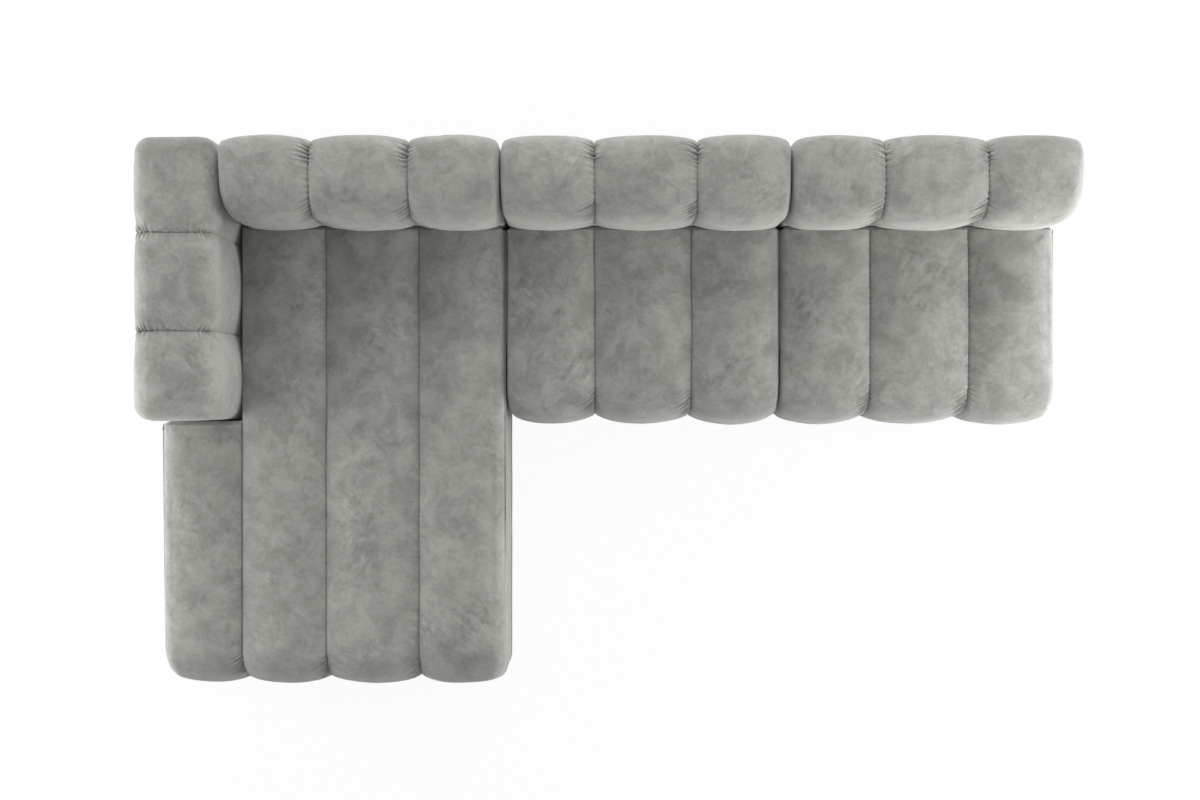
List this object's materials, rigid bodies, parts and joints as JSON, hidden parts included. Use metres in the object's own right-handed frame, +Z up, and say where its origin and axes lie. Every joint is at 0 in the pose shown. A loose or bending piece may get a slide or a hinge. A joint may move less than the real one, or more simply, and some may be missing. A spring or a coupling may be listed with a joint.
{
  "type": "sectional sofa with chaise",
  "caption": "Low modular sectional sofa with a left-hand chaise and arm, in crushed velvet over swelling channels, its units hooked together side by side.",
  "frame": {"origin": "on the floor, at the middle of the plan's bounding box", "axes": "+X to the sitter's left along the back, away from the chaise; -Y out of the front of the seats; +Z up"},
  "size_m": [2.998, 1.81, 0.75],
  "materials": {
    "velvet": "pale warm grey crushed velvet over wadding",
    "foam": "cream polyurethane foam, open cells",
    "timber": "planed pine and plywood, unfinished",
    "webbing": "black elastic webbing",
    "dust_cloth": "black non-woven cloth",
    "plastic": "black moulded plastic, matt",
    "steel": "bright zinc plate"
  },
  "bodies": {
    "chaise_unit": {"chaise_base_frame": "timber", "chaise_seat_webbing": "webbing", "chaise_seat_foam": "foam", "chaise_seat_cover": "velvet", "chaise_back_frame": "timber", "chaise_back_foam": "foam", "chaise_back_cover": "velvet", "arm_frame": "timber", "arm_foam": "foam", "arm_cover": "velvet", "chaise_dust_cover": "dust_cloth", "chaise_foot_1": "plastic", "chaise_foot_2": "plastic", "chaise_foot_3": "plastic", "chaise_foot_4": "plastic", "chaise_foot_5": "plastic", "chaise_foot_6": "plastic", "chaise_back_bolt_1": "steel", "chaise_back_bolt_2": "steel", "arm_bolt_1": "steel", "arm_bolt_2": "steel", "chaise_tongue_plate_1": "steel", "chaise_tongue_plate_2": "steel"},
    "middle_unit": {"middle_base_frame": "timber", "middle_seat_webbing": "webbing", "middle_seat_foam": "foam", "middle_seat_cover": "velvet", "middle_back_frame": "timber", "middle_back_foam": "foam", "middle_back_cover": "velvet", "middle_dust_cover": "dust_cloth", "middle_foot_1": "plastic", "middle_foot_2": "plastic", "middle_foot_3": "plastic", "middle_foot_4": "plastic", "middle_back_bolt_1": "steel", "middle_back_bolt_2": "steel", "middle_socket_plate_1": "steel", "middle_socket_plate_2": "steel", "middle_tongue_plate_1": "steel", "middle_tongue_plate_2": "steel"},
    "right_unit": {"right_base_frame": "timber", "right_seat_webbing": "webbing", "right_seat_foam": "foam", "right_seat_cover": "velvet", "right_back_frame": "timber", "right_back_foam": "foam", "right_back_cover": "velvet", "right_dust_cover": "dust_cloth", "right_foot_1": "plastic", "right_foot_2": "plastic", "right_foot_3": "plastic", "right_foot_4": "plastic", "right_back_bolt_1": "steel", "right_back_bolt_2": "steel", "right_socket_plate_1": "steel", "right_socket_plate_2": "steel"}
  },
  "joints": [
    {"name": "middle_unit_lift", "type": "slide", "parent": "chaise_unit", "child": "middle_unit", "axis": [0, 0, 1], "range_m": [0, 0.06]},
    {"name": "right_unit_lift", "type": "slide", "parent": "middle_unit", "child": "right_unit", "axis": [0, 0, 1], "range_m": [0, 0.06]}
  ]
}
